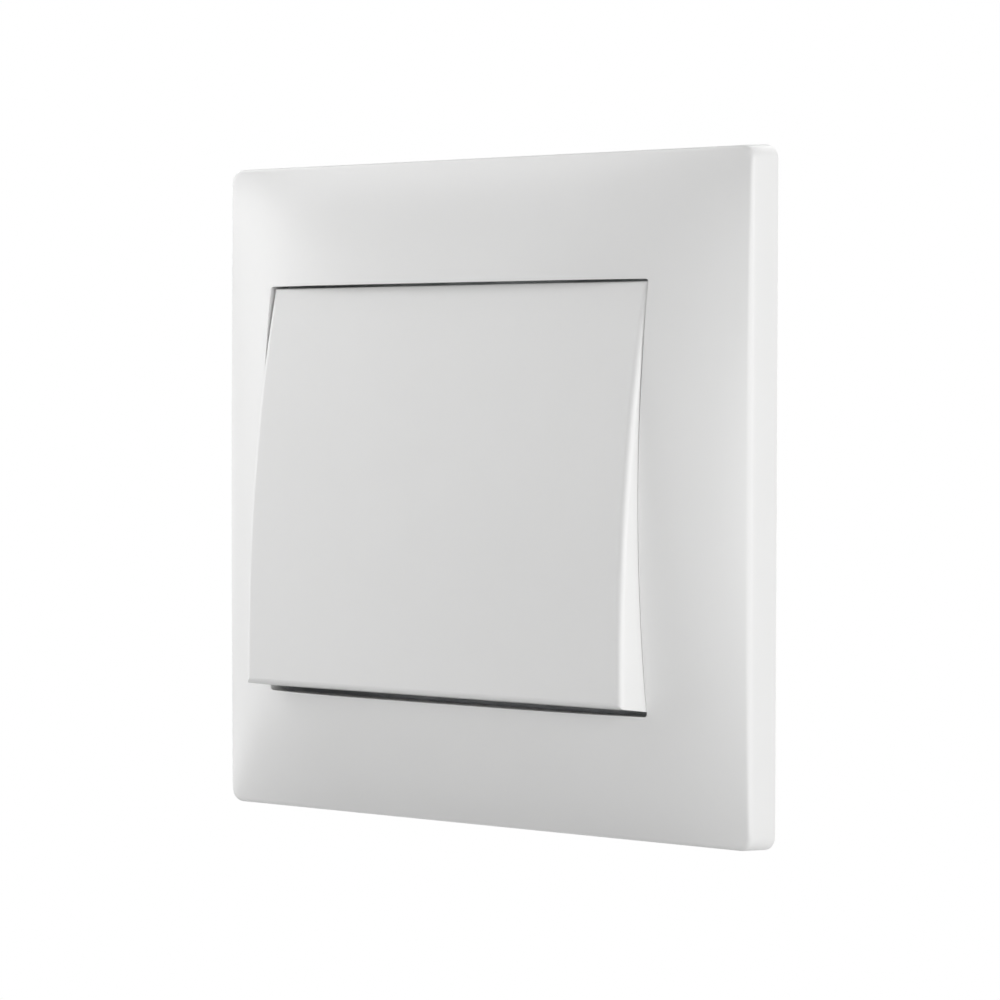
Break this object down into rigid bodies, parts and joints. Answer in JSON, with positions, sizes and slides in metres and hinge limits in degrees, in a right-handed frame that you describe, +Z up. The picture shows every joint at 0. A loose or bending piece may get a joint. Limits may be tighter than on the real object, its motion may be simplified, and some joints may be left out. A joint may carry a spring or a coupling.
{
  "type": "light switch",
  "caption": "Flush-mounted light switch: crowned square cover frame with a wide convex rocker, over a two-way contact mechanism on a steel support ring with spreading claws.",
  "frame": {"origin": "middle of the line between the fixing slots, in the wall plane (back face of the support ring)", "axes": "+Z up as installed, +X to the right seen from the room, +Y into the wall"},
  "size_m": [0.0826, 0.0345, 0.0826],
  "materials": {
    "white_gloss": "satin gloss white",
    "pale_moulding": "matt pale moulding",
    "grey_moulding": "matt grey moulding",
    "zinc_steel": "zinc-plated",
    "spring_steel": "drawn wire",
    "brass": "rolled brass",
    "silver": "bright silver contact"
  },
  "bodies": {
    "base": {"cover_frame": "white_gloss", "mechanism_housing": "pale_moulding", "mechanism_cover": "pale_moulding", "support_ring": "zinc_steel", "cover_screws": "zinc_steel", "ring_rivets": "zinc_steel", "claw_screw_left": "zinc_steel", "claw_screw_right": "zinc_steel", "common_strip": "brass", "upper_strip": "brass", "lower_strip": "brass", "common_terminal": "brass", "upper_terminal": "brass", "lower_terminal": "brass", "upper_contact": "silver", "lower_contact": "silver", "common_terminal_screw": "zinc_steel", "upper_terminal_screw": "zinc_steel", "lower_terminal_screw": "zinc_steel"},
    "rocker": {"rocker": "white_gloss", "rocker_cradle": "grey_moulding", "plunger_spring": "spring_steel"},
    "plunger": {"plunger": "grey_moulding"},
    "lever": {"contact_lever": "brass", "lever_contacts": "silver"},
    "claw_left": {"claw_left": "zinc_steel"},
    "claw_right": {"claw_right": "zinc_steel"}
  },
  "joints": [
    {"name": "rocker_tilt", "type": "hinge", "parent": "base", "child": "rocker", "pos_m": [0, -0.007, 0], "axis": [1, 0, 0], "range_deg": [0, 12]},
    {"name": "plunger_slide", "type": "slide", "parent": "rocker", "child": "plunger", "axis": [0, 0.9945, -0.1045], "range_m": [0, 0.00025], "stiffness_N_per_m": 20, "springref_m": 0.0006},
    {"name": "lever_tilt", "type": "hinge", "parent": "base", "child": "lever", "pos_m": [0, 0.014, 0], "axis": [1, 0, 0], "range_deg": [-16, 0]},
    {"name": "claw_left_spread", "type": "hinge", "parent": "base", "child": "claw_left", "pos_m": [-0.0214, 0.0036, 0], "axis": [0, 0, 1], "range_deg": [0, 20]},
    {"name": "claw_right_spread", "type": "hinge", "parent": "base", "child": "claw_right", "pos_m": [0.0214, 0.0036, 0], "axis": [0, 0, -1], "range_deg": [0, 20]}
  ],
  "couplings": [
    {"joint": "lever_tilt", "follows": "rocker_tilt", "ratio": -1.3333}
  ]
}
